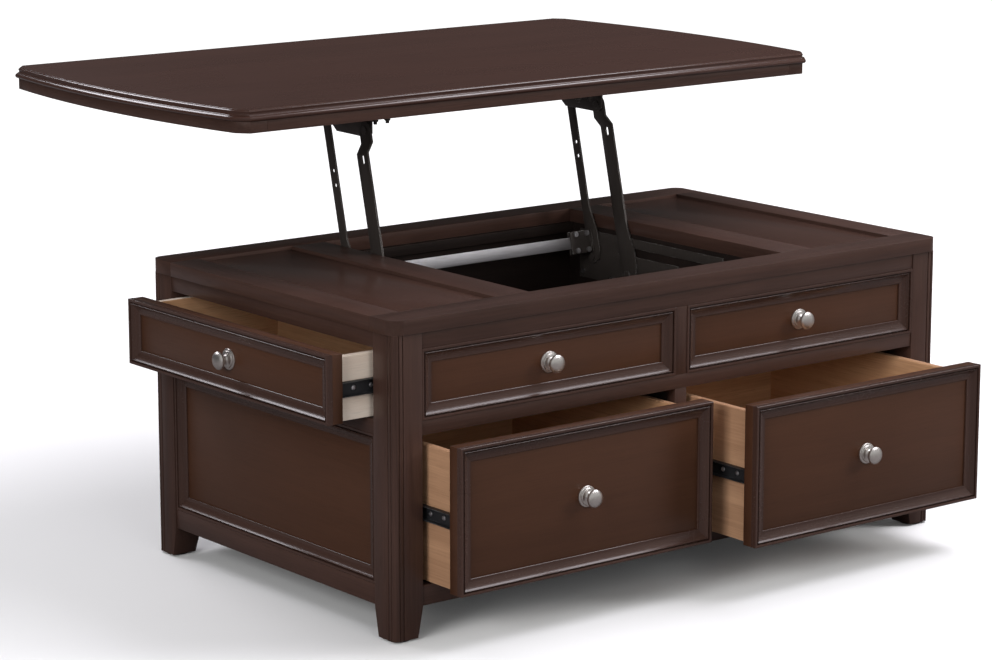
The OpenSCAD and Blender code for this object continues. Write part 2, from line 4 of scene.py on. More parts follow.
import bmesh
import bpy
from mathutils import Matrix, Vector


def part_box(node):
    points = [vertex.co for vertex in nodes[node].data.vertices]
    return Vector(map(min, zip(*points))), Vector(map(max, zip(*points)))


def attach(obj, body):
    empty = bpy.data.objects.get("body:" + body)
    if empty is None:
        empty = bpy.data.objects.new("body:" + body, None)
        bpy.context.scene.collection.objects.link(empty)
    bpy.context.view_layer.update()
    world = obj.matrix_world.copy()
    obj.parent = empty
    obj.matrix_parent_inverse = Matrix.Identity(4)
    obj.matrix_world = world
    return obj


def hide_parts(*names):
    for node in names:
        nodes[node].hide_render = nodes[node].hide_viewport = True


MM = 0.001

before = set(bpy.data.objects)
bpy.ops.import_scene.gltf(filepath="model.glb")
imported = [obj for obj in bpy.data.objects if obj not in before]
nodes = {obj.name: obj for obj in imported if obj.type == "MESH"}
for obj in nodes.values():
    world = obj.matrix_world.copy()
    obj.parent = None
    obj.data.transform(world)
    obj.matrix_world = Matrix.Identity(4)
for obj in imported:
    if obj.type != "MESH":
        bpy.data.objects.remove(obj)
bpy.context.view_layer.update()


# ---- places read from the part

def low(node):
    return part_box(node)[0]


def high(node):
    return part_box(node)[1]


def middle(node):
    return (low(node) + high(node)) / 2


def axis_of(way):
    """0 where a level direction runs along X and 1 where it runs along Y."""
    return 0 if abs(way[0]) > 0.5 else 1


# the case's centre line, from the rim
CASE_X = (low("rim_front").x + high("rim_front").x) / 2
CASE_Y = (low("rim_front").y + high("rim_back").y) / 2


# ---- shader helpers

# turns that lay a pattern, which runs along its own X, along an axis of the table
ALONG = {"x": (0.0, 0.0, 0.0), "y": (0.0, 0.0, math.pi / 2), "z": (0.0, math.pi / 2, 0.0)}


class Nodes:
    """A node tree with short calls for adding and joining nodes."""

    def __init__(self, tree):
        self.tree = tree

    def add(self, kind, **values):
        node = self.tree.nodes.new(kind)
        for name, value in values.items():
            setattr(node, name, value)
        return node

    def join(self, source, target):
        self.tree.links.new(source, target)

    def math(self, operation, a, b, clamp=False):
        node = self.add("ShaderNodeMath", operation=operation, use_clamp=clamp)
        for socket, value in zip(node.inputs, (a, b)):
            if isinstance(value, (int, float)):
                socket.default_value = value
            else:
                self.join(value, socket)
        return node.outputs[0]

    def stretch(self, vector, scale):
        node = self.add("ShaderNodeMapping")
        node.inputs["Scale"].default_value = scale
        self.join(vector, node.inputs["Vector"])
        return node.outputs["Vector"]

    def lay_along(self, vector, axis):
        """Turns a pattern that runs along its own X so that it runs along an axis of the table."""
        node = self.add("ShaderNodeMapping")
        node.inputs["Rotation"].default_value = ALONG[axis]
        self.join(vector, node.inputs["Vector"])
        return node.outputs["Vector"]

    def bump(self, height, strength, distance):
        node = self.add("ShaderNodeBump")
        node.inputs["Strength"].default_value = strength
        node.inputs["Distance"].default_value = distance
        self.join(height, node.inputs["Height"])
        return node.outputs["Normal"]

    def ramp(self, value, start, end, low_value=0.0, high_value=1.0):
        node = self.add("ShaderNodeMapRange")
        node.inputs["From Min"].default_value = start
        node.inputs["From Max"].default_value = end
        node.inputs["To Min"].default_value = low_value
        node.inputs["To Max"].default_value = high_value
        self.join(value, node.inputs["Value"])
        return node.outputs["Result"]

    def mix(self, factor, a, b, blend="MIX"):
        node = self.add("ShaderNodeMix", data_type="RGBA", blend_type=blend)
        for socket, value in zip((node.inputs[0], node.inputs[6], node.inputs[7]), (factor, a, b)):
            if isinstance(value, (int, float)):
                socket.default_value = value
            elif isinstance(value, (tuple, list)):
                socket.default_value = (*value, 1.0)
            else:
                self.join(value, socket)
        return node.outputs[2]

    def noise(self, vector, scale, detail=3.0, roughness=0.5, distortion=0.0):
        node = self.add("ShaderNodeTexNoise")
        node.inputs["Scale"].default_value = scale
        node.inputs["Detail"].default_value = detail
        node.inputs["Roughness"].default_value = roughness
        node.inputs["Distortion"].default_value = distortion
        self.join(vector, node.inputs["Vector"])
        return node.outputs["Fac"]


def new_group(name, inputs, outputs):
    group = bpy.data.node_groups.new(name, "ShaderNodeTree")
    for label, kind, value in inputs:
        socket = group.interface.new_socket(label, in_out="INPUT", socket_type=kind)
        if value is not None:
            socket.default_value = value
    for label, kind in outputs:
        group.interface.new_socket(label, in_out="OUTPUT", socket_type=kind)
    n = Nodes(group)
    return group, n, n.add("NodeGroupInput"), n.add("NodeGroupOutput")


FLOAT = "NodeSocketFloat"
VECTOR = "NodeSocketVector"

# how tightly each pattern is packed: along its lines, and in the two directions across them
FIGURE_PACKING = (1.4, 22.0, 22.0)
STREAK_PACKING = (9.0, 420.0, 420.0)
PORE_PACKING = (28.0, 900.0, 900.0)
BRUSH_PACKING = (30.0, 900.0, 900.0)

# cosine between a face's direction and that of the rounded edge, where the rub starts and where it is full
RUBBED_FROM, RUBBED_FULL = 0.995, 0.90


def build_grain():
    """Wood grain running along X of the vector: colour figure, fine pores and a height."""
    group, n, gin, gout = new_group(
        "wood_grain",
        [("Vector", VECTOR, None), ("Figure", FLOAT, 1.0), ("Pores", FLOAT, 1.0)],
        [("Tone", FLOAT), ("Pore", FLOAT), ("Height", FLOAT)])
    point = gin.outputs["Vector"]
    broad = n.noise(n.stretch(point, FIGURE_PACKING), 1.0, detail=4.0, roughness=0.55, distortion=0.6)
    streak = n.noise(n.stretch(point, STREAK_PACKING), 1.0, detail=2.0, roughness=0.6)
    patch = n.noise(point, 5.0, detail=2.0)
    tone = n.math("ADD", n.ramp(broad, 0.3, 0.7, -0.5, 0.5), n.ramp(streak, 0.3, 0.7, -0.28, 0.28))
    tone = n.math("ADD", tone, n.ramp(patch, 0.3, 0.7, -0.2, 0.2))
    tone = n.math("ADD", n.math("MULTIPLY", tone, gin.outputs["Figure"]), 0.5, clamp=True)
    pore = n.ramp(n.noise(n.stretch(point, PORE_PACKING), 1.0, detail=1.0), 0.60, 0.72)
    pore = n.math("MULTIPLY", pore, gin.outputs["Pores"])
    n.join(tone, gout.inputs["Tone"])
    n.join(pore, gout.inputs["Pore"])
    n.join(n.math("SUBTRACT", n.math("MULTIPLY", tone, 0.35), pore), gout.inputs["Height"])
    return group


def build_wear():
    """Rubbed edges and a little dust: masks from the shape's own edges and from soft noise."""
    group, n, gin, gout = new_group(
        "wear_and_dust",
        [("Vector", VECTOR, None), ("Edge", FLOAT, 0.5), ("Radius", FLOAT, 0.002)],
        [("Rub", FLOAT), ("Dust", FLOAT), ("Smudge", FLOAT)])
    round_off = n.add("ShaderNodeBevel", samples=4)
    n.join(gin.outputs["Radius"], round_off.inputs["Radius"])
    flat = n.add("ShaderNodeNewGeometry")
    dot = n.add("ShaderNodeVectorMath", operation="DOT_PRODUCT")
    n.join(round_off.outputs["Normal"], dot.inputs[0])
    n.join(flat.outputs["Normal"], dot.inputs[1])
    edge = n.ramp(dot.outputs["Value"], RUBBED_FROM, RUBBED_FULL)
    point = gin.outputs["Vector"]
    patch = n.ramp(n.noise(point, 38.0, detail=4.0, roughness=0.6), 0.42, 0.68)
    rub = n.math("MULTIPLY", n.math("MULTIPLY", edge, patch), gin.outputs["Edge"], clamp=True)
    dust = n.ramp(n.noise(point, 260.0, detail=3.0, roughness=0.7), 0.58, 0.78)
    smudge = n.ramp(n.noise(point, 6.5, detail=3.0, roughness=0.55), 0.35, 0.7)
    n.join(rub, gout.inputs["Rub"])
    n.join(dust, gout.inputs["Dust"])
    n.join(smudge, gout.inputs["Smudge"])
    return group


GRAIN = build_grain()
WEAR = build_wear()


def new_material(name):
    """An empty material: its nodes, its shader and the point on the piece that patterns read."""
    material = bpy.data.materials.new(name)
    material.use_nodes = True
    n = Nodes(material.node_tree)
    n.tree.nodes.clear()
    shader = n.add("ShaderNodeBsdfPrincipled")
    out = n.add("ShaderNodeOutputMaterial")
    n.join(shader.outputs["BSDF"], out.inputs["Surface"])
    place = n.add("ShaderNodeTexCoord")
    return material, n, shader, place.outputs["Object"]


def place_group(n, group, vector, **values):
    node = n.add("ShaderNodeGroup", node_tree=group)
    n.join(vector, node.inputs["Vector"])
    for label, value in values.items():
        node.inputs[label].default_value = value
    return node


LACQUER_SPECULAR = 0.28
COAT_ROUGHNESS = 0.22
WOOD_RUB = (0.16, 0.10, 0.08)
WOOD_EDGE = 1.6 * MM
METAL_EDGE = 0.8 * MM


def wood(name, along, dark, light, rough, coat=0.125, pores=0.5, figure=0.8, bump=0.12 * MM,
         rub_colour=WOOD_RUB, edge=0.25):
    """Stained or clear lacquered wood with its grain along one axis."""
    material, n, shader, point = new_material(name)
    grain = place_group(n, GRAIN, n.lay_along(point, along), Figure=figure, Pores=pores)
    wear = place_group(n, WEAR, point, Edge=edge, Radius=WOOD_EDGE)
    colour = n.mix(grain.outputs["Tone"], dark, light)
    colour = n.mix(n.math("MULTIPLY", grain.outputs["Pore"], 0.6), colour, tuple(c * 0.35 for c in dark))
    colour = n.mix(wear.outputs["Rub"], colour, rub_colour)
    n.join(colour, shader.inputs["Base Color"])
    roughness = n.math("ADD", n.ramp(wear.outputs["Smudge"], 0.0, 1.0, rough - 0.015, rough + 0.015),
                       n.math("MULTIPLY", grain.outputs["Pore"], 0.18))
    roughness = n.math("ADD", roughness, n.math("MULTIPLY", wear.outputs["Dust"], 0.04), clamp=True)
    n.join(roughness, shader.inputs["Roughness"])
    shader.inputs["Specular IOR Level"].default_value = LACQUER_SPECULAR
    shader.inputs["Coat Weight"].default_value = coat
    shader.inputs["Coat Roughness"].default_value = COAT_ROUGHNESS
    n.join(n.bump(grain.outputs["Height"], 0.5, bump), shader.inputs["Normal"])
    return material


def metal(name, colour, rough, along="x", brush=0.1, metallic=1.0, edge=0.3, rub_colour=(0.8, 0.78, 0.75)):
    """Brushed, plated or coated metal with fine lines along one axis and rubbed edges."""
    material, n, shader, point = new_material(name)
    lines = n.noise(n.stretch(n.lay_along(point, along), BRUSH_PACKING), 1.0, detail=3.0, roughness=0.6)
    wear = place_group(n, WEAR, point, Edge=edge, Radius=METAL_EDGE)
    shade = n.ramp(lines, 0.3, 0.7, 1.0 - brush, 1.0 + brush)
    tint = n.add("ShaderNodeCombineColor")
    for label in ("Red", "Green", "Blue"):
        n.join(shade, tint.inputs[label])
    base = n.mix(1.0, colour, tint.outputs["Color"], blend="MULTIPLY")
    base = n.mix(n.math("MULTIPLY", wear.outputs["Smudge"], 0.12), base, tuple(c * 0.6 for c in colour))
    base = n.mix(wear.outputs["Rub"], base, rub_colour)
    n.join(base, shader.inputs["Base Color"])
    shader.inputs["Metallic"].default_value = metallic
    roughness = n.math("ADD", n.ramp(lines, 0.3, 0.7, rough - 0.06, rough + 0.06),
                       n.math("MULTIPLY", wear.outputs["Smudge"], 0.08), clamp=True)
    n.join(roughness, shader.inputs["Roughness"])
    n.join(n.bump(lines, 0.4, 0.03 * MM), shader.inputs["Normal"])
    return material


def plastic(name, colour, rough):
    """Moulded plastic with a fine grit and a little dust."""
    material, n, shader, point = new_material(name)
    wear = place_group(n, WEAR, point, Edge=0.3, Radius=METAL_EDGE)
    grit = n.noise(point, 1800.0, detail=3.0)
    base = n.mix(wear.outputs["Dust"], colour, tuple(min(1.0, c * 1.8 + 0.02) for c in colour))
    n.join(base, shader.inputs["Base Color"])
    n.join(n.ramp(grit, 0.3, 0.7, rough - 0.06, rough + 0.06), shader.inputs["Roughness"])
    n.join(n.bump(grit, 0.3, 0.05 * MM), shader.inputs["Normal"])
    return material


# stain colours, dark and light tone of the grain
RAIL_STAIN = ((0.036, 0.0185, 0.0140), (0.062, 0.0320, 0.0245))
PANEL_STAIN = ((0.050, 0.0205, 0.0105), (0.070, 0.0290, 0.0155))
TOP_STAIN = ((0.038, 0.0170, 0.0125), (0.050, 0.0225, 0.0165))
INNER_STAIN = ((0.008, 0.0055, 0.005), (0.018, 0.012, 0.010))

# the drawers' boards by the axis they run along: those along X are the pale birch, those along Y are darker
# and warmer as painted shade, and the inside faces and floors are darker and warmer than the pale birch,
# also as painted shade
BIRCH_AND_PAINTED_SHADE = {"x": ((0.76, 0.63, 0.52), (0.90, 0.80, 0.70)), "y": ((0.34, 0.185, 0.105), (0.50, 0.29, 0.17))}
BIRCH_INSIDE_PAINTED_SHADE = ((0.42, 0.230, 0.120), (0.62, 0.370, 0.210))
BIRCH_FLOOR_PAINTED_SHADE = ((0.42, 0.235, 0.125), (0.62, 0.380, 0.220))

# what shows where an edge is rubbed
BIRCH_RUB = (0.72, 0.58, 0.44)
INSIDE_RUB = (0.62, 0.46, 0.32)
FLOOR_RUB = (0.60, 0.44, 0.30)
BRONZE_RUB = (0.50, 0.48, 0.46)
BLACK_RUB = (0.35, 0.35, 0.35)

MATS = {}
for axis in "xyz":
    MATS["rail_" + axis] = wood("espresso_rail_" + axis, axis, *RAIL_STAIN, rough=0.33)
    MATS["stick_" + axis] = wood("espresso_moulding_" + axis, axis, *RAIL_STAIN, rough=0.26, coat=0.25,
                                 pores=0.15, figure=0.5, edge=0.1, bump=0.03 * MM)
for axis in "xy":
    MATS["panel_" + axis] = wood("espresso_panel_" + axis, axis, *PANEL_STAIN, rough=0.34, pores=0.3,
                                 figure=0.6)
    MATS["inner_" + axis] = wood("dark_inner_board_" + axis, axis, *INNER_STAIN, rough=0.55, coat=0.0,
                                 pores=0.8)
    # birch_x is the pale birch; birch_y is darker and warmer as painted shade, and the inside materials
    # carry painted shade too
    MATS["birch_" + axis] = wood("birch_" + axis, axis, *BIRCH_AND_PAINTED_SHADE[axis], rough=0.5, coat=0.05, pores=0.35,
                                 rub_colour=BIRCH_RUB)
    MATS["birch_inside_painted_shade_" + axis] = wood("birch_inside_painted_shade_" + axis, axis, *BIRCH_INSIDE_PAINTED_SHADE, rough=0.5, coat=0.05,
                                        rub_colour=INSIDE_RUB)
MATS["top"] = wood("espresso_top", "x", *TOP_STAIN, rough=0.28, coat=0.15, pores=0.12, figure=0.4, edge=0.1,
                   bump=0.02 * MM)
MATS["top_edge"] = wood("espresso_top_edge", "x", *TOP_STAIN, rough=0.17, coat=0.5, pores=0.1, figure=0.4,
                        edge=0.1, bump=0.02 * MM)
MATS["inset"] = wood("espresso_inset", "y", *RAIL_STAIN, rough=0.20, coat=0.25, pores=0.3, figure=0.5)
# the drawer floors: birch ply darkened and warmed as painted shade inside the box
MATS["floor_ply"] = wood("birch_ply_painted_shade", "y", *BIRCH_FLOOR_PAINTED_SHADE, rough=0.55, coat=0.025, rub_colour=FLOOR_RUB)
MATS["nickel"] = metal("satin_nickel", (0.80, 0.76, 0.72), 0.34, brush=0.06)
MATS["zinc"] = metal("bright_zinc", (0.80, 0.78, 0.80), 0.44)
MATS["bronze"] = metal("dark_bronze_steel", (0.060, 0.050, 0.045), 0.40, along="z", brush=0.18, metallic=0.5,
                       edge=2.0, rub_colour=BRONZE_RUB)
MATS["black_slide"] = metal("black_slide_steel", (0.022, 0.022, 0.024), 0.42, brush=0.15, metallic=0.3,
                            edge=0.6, rub_colour=BLACK_RUB)
MATS["glide"] = plastic("black_glide_plastic", (0.02, 0.02, 0.02), 0.5)


# ---- mesh helpers

SMOOTH_UNDER = 35.0     # degrees between two faces that are shaded as one
MOULD_SMOOTH = 24.0
TOP_SMOOTH = 30.0
SCREW_SMOOTH = 40.0
KNOB_SMOOTH = 50.0
SHARP_OVER = 40.0       # degrees of a corner whose edge is rounded
ALMOST_FLAT = 0.4       # degrees between two triangles of one flat face
SAME_POINT = 1e-6


def finish_piece(name, bm, materials, body, replaced=(), smooth=SMOOTH_UNDER):
    """Turns a bmesh into a piece that rides on a body and stands for CAD nodes."""
    mesh = bpy.data.meshes.new(name)
    for face in bm.faces:
        face.smooth = True
    limit = math.radians(smooth)
    for edge in bm.edges:
        if len(edge.link_faces) == 2:
            edge.smooth = edge.calc_face_angle(0.0) < limit
        else:
            edge.smooth = False
    bm.to_mesh(mesh)
    bm.free()
    for material in materials:
        mesh.materials.append(material)
    piece = bpy.data.objects.new(name, mesh)
    bpy.context.scene.collection.objects.link(piece)
    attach(piece, body)
    if replaced:
        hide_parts(*replaced)


def node_copy(node):
    """The CAD node's shape as one merged mesh with its flat faces joined up."""
    bm = bmesh.new()
    bm.from_mesh(nodes[node].data)
    bmesh.ops.remove_doubles(bm, verts=bm.verts, dist=2 * SAME_POINT)
    bmesh.ops.dissolve_limit(bm, angle_limit=math.radians(ALMOST_FLAT), verts=bm.verts, edges=bm.edges,
                             delimit={"NORMAL"})
    return bm


def ease_edges(bm, width, segments=2, keep=None):
    """Rounds the sharp outer edges by a small width, or only those that keep says yes to."""
    edges = []
    for edge in bm.edges:
        if len(edge.link_faces) != 2:
            continue
        if edge.calc_face_angle_signed(0.0) < math.radians(SHARP_OVER):
            continue
        if edge.calc_length() < 2.5 * width:
            continue
        if keep is not None and not keep(edge):
            continue
        edges.append(edge)
    if edges:
        bmesh.ops.bevel(bm, geom=edges, offset=width, offset_type="OFFSET", segments=segments,
                        profile=0.5, affect="EDGES", clamp_overlap=True, material=-1)
    bmesh.ops.remove_doubles(bm, verts=bm.verts, dist=SAME_POINT)


def eased_node(node, material, body, width):
    """A finished piece with the node's own shape and its edges rounded by a width in millimetres."""
    bm = node_copy(node)
    ease_edges(bm, width * MM)
    finish_piece(node + "_finished", bm, [MATS[material]], body, [node])


def close_up(bm):
    """Merges the seams and poles of a spun shape and points its faces outwards."""
    bmesh.ops.remove_doubles(bm, verts=bm.verts, dist=SAME_POINT)
    bmesh.ops.recalc_face_normals(bm, faces=bm.faces)


def box_mesh(a, b):
    """A block between two corners, in metres."""
    a, b = Vector(a), Vector(b)
    size = b - a
    centre = (a + b) / 2
    place = Matrix.Translation(centre) @ Matrix.Diagonal((size.x, size.y, size.z, 1.0))
    bm = bmesh.new()
    bmesh.ops.create_cube(bm, size=1.0, matrix=place)
    return bm


# ---- mouldings: a section swept along a mitred stick

# the moulding's section, in millimetres: a flat lip, a narrow quirk, then a hollow slope to a thin foot
MOULD_W = 23
MOULD_T = 10
LIP_W = 4.2
QUIRK_W = 2.5
QUIRK_FLOOR = 4.6
SHOULDER_H = 9.2
FOOT_W = 1.6
FOOT_H = 2.2
SLOPE_STEPS = 14
MITRE_GAP = 0.06 * MM
FRONT_EDGE = 0.8 * MM


def mould_profile():
    """Section of the moulding: distance in from the outer edge, and height over the board."""
    width, lip, shoulder, foot = MOULD_W, LIP_W, SHOULDER_H, FOOT_H
    start = lip + QUIRK_W
    run = width - FOOT_W - start
    fall = shoulder - foot
    radius = (run * run + fall * fall) / (2 * fall)
    points = [(0, 0), (0, 9.2), (0.25, 9.75), (0.8, MOULD_T), (lip - 0.7, MOULD_T), (lip - 0.2, 9.8),
              (lip, 9.3), (lip + 0.1, QUIRK_FLOOR), (start - 0.1, QUIRK_FLOOR), (start, 8.7),
              (start + 0.5, shoulder)]
    for i in range(1, SLOPE_STEPS + 1):
        u = start + 0.8 + (run - 0.8) * i / SLOPE_STEPS
        d = start + run - u
        points.append((u, foot + radius - math.sqrt(radius * radius - d * d)))
    points += [(width - 0.5, foot), (width, foot - 0.5), (width, 0)]
    return [(u * MM, v * MM) for u, v in points]


def stick(bm, length, matrix):
    """One mitred stick along +X with its outer edge on Y = 0 and its back on Z = 0."""
    verts = [bm.verts.new((0.0, u, v)) for u, v in mould_profile()]
    face = bm.faces.new(verts)
    grown = bmesh.ops.extrude_face_region(bm, geom=[face])
    far = [v for v in grown["geom"] if isinstance(v, bmesh.types.BMVert)]
    bmesh.ops.translate(bm, verts=far, vec=(length, 0, 0))
    for v in verts:
        v.co.x = v.co.y
    for v in far:
        v.co.x = length - v.co.y
    every = verts + far
    faces = list({f for v in every for f in v.link_faces})
    bmesh.ops.recalc_face_normals(bm, faces=faces)
    bmesh.ops.transform(bm, matrix=matrix, verts=every)


def facing(origin, right, out):
    """Frame whose X is right, Z is out of the front and Y is up, at the origin."""
    right, out = Vector(right), Vector(out)
    up = out.cross(right)
    turn = Matrix((right, up, out)).transposed().to_4x4()
    return Matrix.Translation(Vector(origin)) @ turn


def mould_frame(name, centre, right, out, width, height, body, flat_axis, replaced=()):
    """Four mitred sticks round a panel: two level ones and two upright ones."""
    base = facing(centre, right, out)
    pair = {"level": bmesh.new(), "upright": bmesh.new()}
    wide, tall = width - 2 * MITRE_GAP, height - 2 * MITRE_GAP
    for part, length, x, y, turn in (
            ("level", wide, -width / 2 + MITRE_GAP, -height / 2, 0.0),
            ("level", wide, width / 2 - MITRE_GAP, height / 2, math.pi),
            ("upright", tall, width / 2, -height / 2 + MITRE_GAP, math.pi / 2),
            ("upright", tall, -width / 2, height / 2 - MITRE_GAP, -math.pi / 2)):
        place = base @ Matrix.Translation((x, y, 0)) @ Matrix.Rotation(turn, 4, "Z")
        stick(pair[part], length, place)
    finish_piece(name + "_level", pair["level"], [MATS["stick_" + flat_axis]], body, replaced,
                 MOULD_SMOOTH)
    finish_piece(name + "_upright", pair["upright"], [MATS["stick_z"]], body, (), MOULD_SMOOTH)


def front_board(node, body, right, out, flat_axis):
    """Drawer front or faux front: its board and the moulding round it."""
    a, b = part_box(node)
    axis = axis_of(out)
    side = 1 - axis
    lo, hi = a.copy(), b.copy()
    seat = (b if out[axis] > 0 else a)[axis] - out[axis] * MOULD_T * MM
    (hi if out[axis] > 0 else lo)[axis] = seat
    bm = box_mesh(lo, hi)
    ease_edges(bm, FRONT_EDGE)
    finish_piece(node + "_board", bm, [MATS["panel_" + flat_axis]], body, [node])
    centre = (a + b) / 2
    centre[axis] = seat
    mould_frame(node + "_moulding", centre, right, out, b[side] - a[side], b.z - a.z, body, flat_axis)


# ---- turned parts

# sections of radius and height over the seat, in millimetres
KNOB_STEPS = 64
KNOB_SECTION = [(0.0, 0.0), (16.4, 0.0), (16.5, 0.5), (16.5, 1.3), (16.1, 2.0), (15.5, 2.4), (14.4, 2.6),
                (13.6, 2.8), (13.2, 3.4), (13.1, 4.2), (12.6, 4.9), (11.6, 5.3), (10.6, 5.5), (9.4, 5.8),
                (8.0, 6.5), (6.8, 7.6), (6.1, 9.0), (5.8, 10.6), (5.9, 12.0), (6.5, 13.2), (7.8, 14.1),
                (9.8, 14.9), (12.0, 15.8), (13.3, 16.9), (13.9, 18.2), (14.0, 19.3), (13.7, 20.6),
                (12.8, 22.0), (11.2, 23.3), (9.2, 24.3), (6.8, 25.1), (4.0, 25.7), (1.6, 25.95), (0.0, 26.0)]
SCREW_STEPS = 20
SCREW_SECTION = [(0.0, 0.0), (4.0, 0.0), (4.0, 0.5), (3.6, 1.1), (2.8, 1.5), (1.6, 1.7), (1.3, 1.0),
                 (0.0, 0.9)]


def turned(bm, section, root, out, steps):
    """Adds a section, spun round the way out, that stands on its root."""
    before = set(bm.verts)
    verts = [bm.verts.new((r * MM, 0.0, z * MM)) for r, z in section]
    edges = [bm.edges.new(pair) for pair in zip(verts, verts[1:])]
    bmesh.ops.spin(bm, geom=verts + edges, cent=(0, 0, 0), axis=(0, 0, 1), angle=math.tau, steps=steps,
                   use_merge=True)
    fresh = [v for v in bm.verts if v not in before]
    turn = Vector((0, 0, 1)).rotation_difference(out).to_matrix().to_4x4()
    bmesh.ops.transform(bm, matrix=Matrix.Translation(root) @ turn, verts=fresh)


def knob(name, body, root, out, replaced):
    """Turned knob: stepped flange, waisted neck and domed button."""
    bm = bmesh.new()
    turned(bm, KNOB_SECTION, root, Vector(out), KNOB_STEPS)
    close_up(bm)
    finish_piece(name, bm, [MATS["nickel"]], body, replaced, KNOB_SMOOTH)


# ---- case

# node, material, slot, and how far its sharp edges are rounded, in millimetres
CASE_FINISHES = [
    ("post_front_left", "rail_z", "dark_wood", 0.7),
    ("post_front_right", "rail_z", "dark_wood", 0.7),
    ("post_back_left", "rail_z", "dark_wood", 0.7),
    ("post_back_right", "rail_z", "dark_wood", 0.7),
    ("rim_front", "rail_x", "dark_wood", 1.2),
    ("rim_back", "rail_x", "dark_wood", 1.2),
    ("rim_left", "rail_y", "dark_wood", 0.6),
    ("rim_right", "rail_y", "dark_wood", 0.6),
    ("cross_rails", "rail_y", "dark_wood", 0.6),
    ("inset_panels", "inset", "panel_wood", 0.5),
    ("front_top_rail", "rail_x", "dark_wood", 0.8),
    ("front_mid_rail", "rail_x", "dark_wood", 0.8),
    ("front_bottom_rail", "rail_x", "dark_wood", 0.8),
    ("mullions", "rail_z", "dark_wood", 0.6),
    ("end_rails", "rail_y", "dark_wood", 0.8),
    ("end_panels", "panel_y", "panel_wood", 0.4),
    ("back_rails", "rail_x", "dark_wood", 0.8),
    ("back_panels", "panel_x", "panel_wood", 0.4),
    ("glides", "glide", "glide_plastic", 0.6),
    ("bottom_panel", "inner_x", "inner_wood", 0.4),
    ("middle_panel", "inner_x", "inner_wood", 0.4),
    ("centre_partition", "inner_y", "inner_wood", 0.4),
    ("well_walls", "inner_x", "inner_wood", 0.6),
    # the slide cleats take birch_y, whose darker, warmer tone is painted shade
    ("slide_cleats", "birch_y", "inner_wood", 0.6),
]


def case_pieces():
    for node, material, slot, width in CASE_FINISHES:
        eased_node(node, material, "case", width)


def case_mouldings():
    """The mouldings round the two end panels and the two back panels."""
    a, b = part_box("end_mouldings")
    for side, x, out in (("left", a.x, -1), ("right", b.x, 1)):
        centre = Vector((x - out * MOULD_T * MM, (a.y + b.y) / 2, (a.z + b.z) / 2))
        mould_frame(f"end_moulding_{side}", centre, (0, out, 0), (out, 0, 0), b.y - a.y, b.z - a.z, "case",
                    "y", ["end_mouldings"] if side == "left" else ())
    a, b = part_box("back_mouldings")
    gap = high("mullions").x - low("mullions").x
    width = (b.x - a.x - gap) / 2
    for side, x in (("left", a.x + width / 2), ("right", b.x - width / 2)):
        centre = Vector((x, b.y - MOULD_T * MM, (a.z + b.z) / 2))
        mould_frame(f"back_moulding_{side}", centre, (-1, 0, 0), (0, 1, 0), width, b.z - a.z, "case",
                    "x", ["back_mouldings"] if side == "left" else ())


def fronts():
    for side in ("left", "right"):
        front_board(f"faux_front_{side}", "case", (1, 0, 0), (0, -1, 0), "x")
        front_board(f"low_{side}_front", f"low_{side}", (1, 0, 0), (0, -1, 0), "x")
    front_board("end_left_front", "end_left", (0, -1, 0), (-1, 0, 0), "y")
    front_board("end_right_front", "end_right", (0, 1, 0), (1, 0, 0), "y")


def knobs():
    a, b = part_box("faux_knobs")
    radius = (b.z - a.z) / 2
    for side, x, replaced in (("left", a.x + radius, ["faux_knobs"]), ("right", b.x - radius, ())):
        knob(f"faux_knob_{side}", "case", Vector((x, b.y, (a.z + b.z) / 2)), (0, -1, 0), replaced)
    for body, out in (("low_left", (0, -1, 0)), ("low_right", (0, -1, 0)), ("end_left", (-1, 0, 0)),
                      ("end_right", (1, 0, 0))):
        node = body + "_knob"
        axis = axis_of(out)
        root = middle(node)
        root[axis] = (low(node) if out[axis] > 0 else high(node))[axis]
        knob(body + "_button", body, root, out, [node])


# ---- drawer boxes: separate boards, with the front and the back between the sides

DRAWER_WALL = 12 * MM
DRAWER_GAP = 0.15 * MM
FLOOR_T = 6 * MM
FLOOR_UP = {"x": 8 * MM, "y": 10 * MM}
TOP_ROUND = 2.2 * MM
TOP_ROUND_SEGMENTS = 3
LONG_EDGE = 100 * MM

# the screws' places, in metres back from the end that the drawer opens to, and how far out they sit
SLIDE_SCREWS_AT = (0.026, 0.058, 0.150, 0.232)
SLIDE_WEB = 1.2 * MM


def mark_shaded_inside(bm, mid, axis):
    """Gives the second material, the painted shade of the box's inside, to the faces that look at the middle
    of the box.
    """
    bm.normal_update()
    for face in bm.faces:
        facing_in = face.normal[axis] * (mid[axis] - face.calc_center_median()[axis]) > 0
        face.material_index = 1 if facing_in and abs(face.normal[axis]) > 0.5 else 0


def drawer_board(name, lo, hi, length, mid, materials, body, replaced=()):
    """One upright board of a drawer, rounded along its top, that runs on the axis called length."""
    def keep(edge):
        first, second = (v.co for v in edge.verts)
        on_top = min(first.z, second.z) > hi.z - 10 * SAME_POINT
        return on_top and abs(first[length] - second[length]) > LONG_EDGE

    bm = box_mesh(lo, hi)
    ease_edges(bm, TOP_ROUND, TOP_ROUND_SEGMENTS, keep)
    mark_shaded_inside(bm, mid, 1 - length)
    finish_piece(name, bm, materials, body, replaced)


